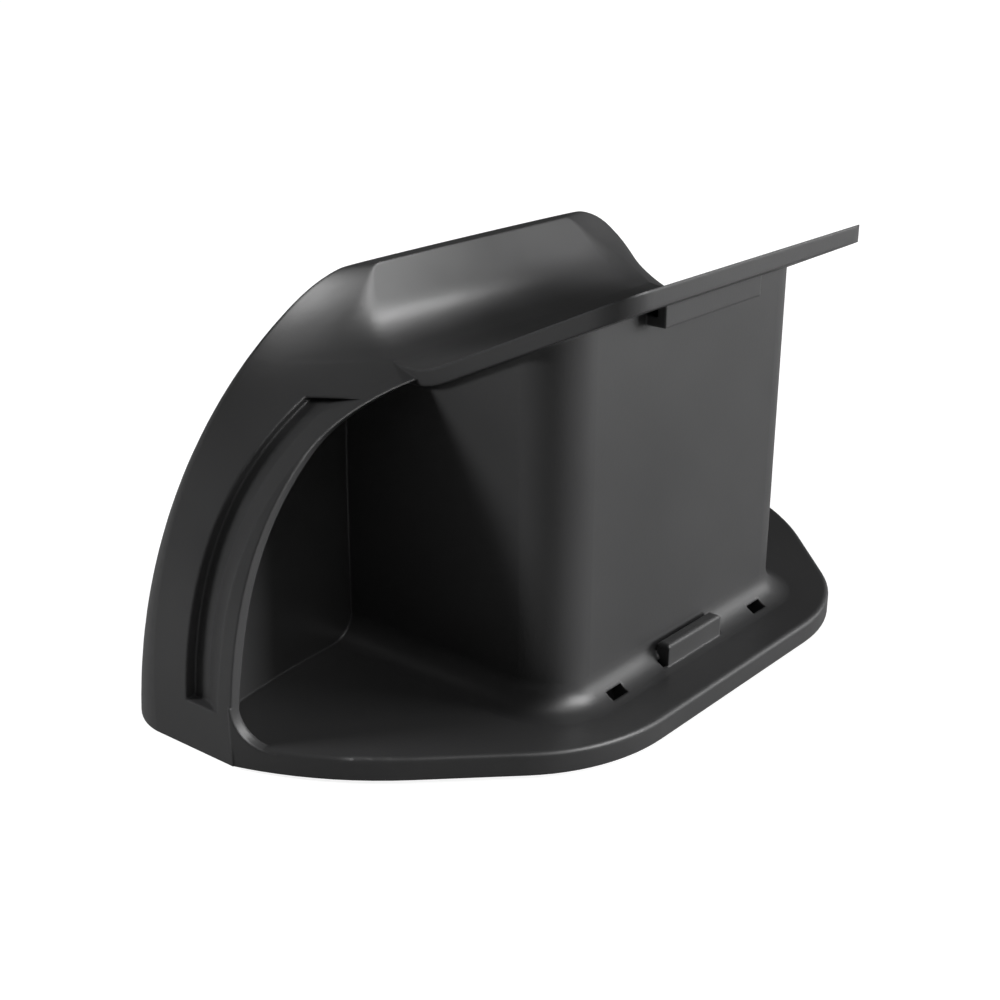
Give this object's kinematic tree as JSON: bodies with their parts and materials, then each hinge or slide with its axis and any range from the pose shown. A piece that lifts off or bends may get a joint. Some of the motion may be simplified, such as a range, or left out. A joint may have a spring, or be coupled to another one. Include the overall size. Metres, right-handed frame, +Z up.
{
  "type": "controller stand",
  "caption": "Desk stand for a game controller: a sloping tray with a lip on a post, an arched front shield open to the rear and a D-shaped base on rubber feet.",
  "frame": {"origin": "middle of the footprint on the surface that the feet stand on", "axes": "+X along the width, +Y towards the user's side where the shield is, +Z up"},
  "size_m": [0.1164, 0.0728, 0.0597],
  "materials": {
    "body_plastic": "satin black moulded plastic with a fine grain",
    "foot_rubber": "matt black rubber"
  },
  "bodies": {
    "root": {"stand_body": "body_plastic", "rubber_foot_front_left": "foot_rubber", "rubber_foot_front_right": "foot_rubber", "rubber_foot_rear_left": "foot_rubber", "rubber_foot_rear_right": "foot_rubber"}
  },
  "joints": []
}
